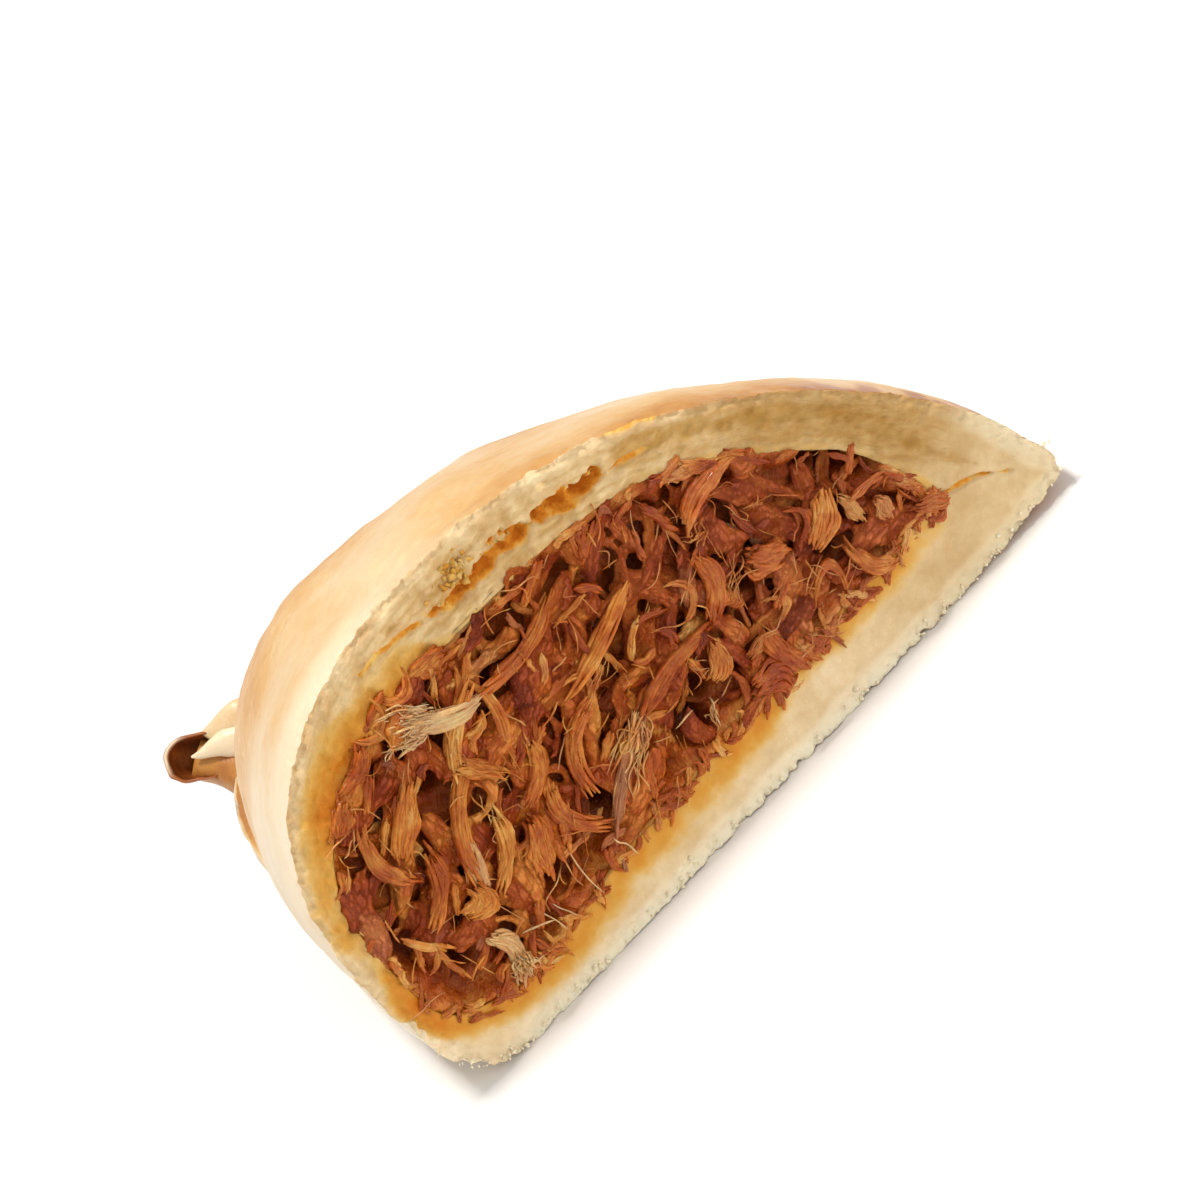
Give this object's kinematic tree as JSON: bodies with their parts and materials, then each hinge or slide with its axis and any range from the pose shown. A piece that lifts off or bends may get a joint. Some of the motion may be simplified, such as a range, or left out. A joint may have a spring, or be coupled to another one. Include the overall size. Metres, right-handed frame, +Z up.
{
  "type": "empanada half",
  "caption": "Half of a baked empanada, cut across its middle: a thick, flaky dough shell folded round pulled meat, with a pressed rim and a pinched corner.",
  "frame": {"origin": "on the table, under the centre of the half's bounding box", "axes": "+X across the cut face from the folded edge to the sealed rim, +Y from the cut face back to the pinched corner, +Z up"},
  "size_m": [0.0932, 0.07, 0.0497],
  "materials": {
    "crust": "baked dough, satin where it is glazed and matte at the cut",
    "filling": "moist pulled meat"
  },
  "bodies": {
    "root": {"crust": "crust", "filling": "filling"}
  },
  "joints": []
}
